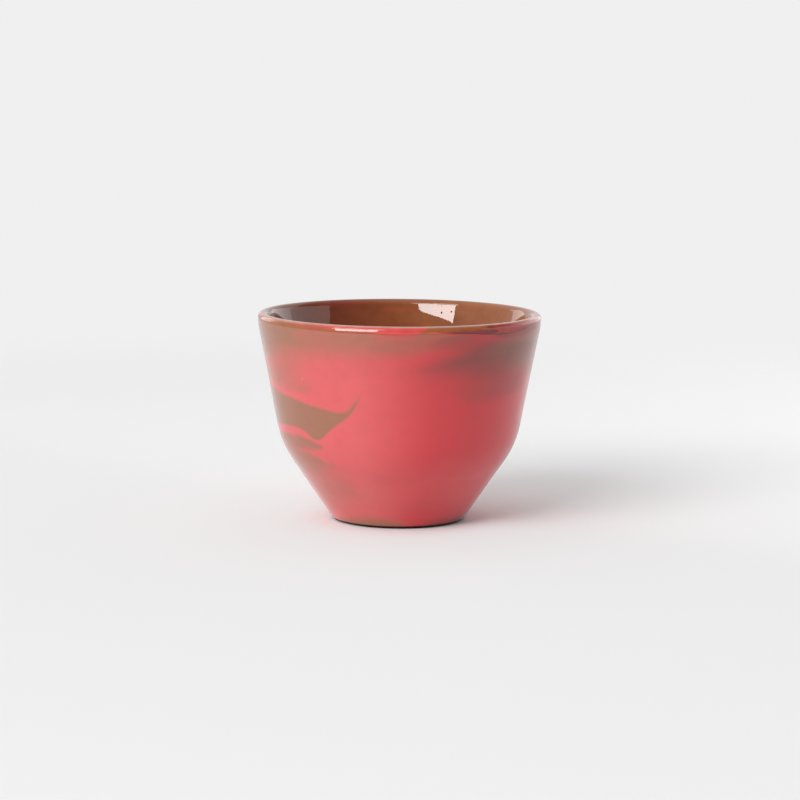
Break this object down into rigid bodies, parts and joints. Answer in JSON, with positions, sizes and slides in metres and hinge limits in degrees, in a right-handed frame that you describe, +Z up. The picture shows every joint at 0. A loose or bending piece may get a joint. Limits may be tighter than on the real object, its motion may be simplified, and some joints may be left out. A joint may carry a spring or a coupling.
{
  "type": "cappuccino cup",
  "caption": "Handle-less tapered cappuccino cup of marbled red and brown clay, satin outside, with a clear gloss glaze inside and over the rounded lip.",
  "frame": {"origin": "on the table, at the centre of the foot", "axes": "+Z up along the cup's axis, -Y towards the front that the picture shows, +X to the right in that view"},
  "size_m": [0.09, 0.09, 0.066],
  "materials": {
    "marbled_clay": "satin, unglazed, red clay with soft brown swirls",
    "clear_glaze": "clear gloss glaze over mostly brown clay"
  },
  "bodies": {
    "root": {"clay_body": "marbled_clay", "liner_glaze": "clear_glaze"}
  },
  "joints": []
}
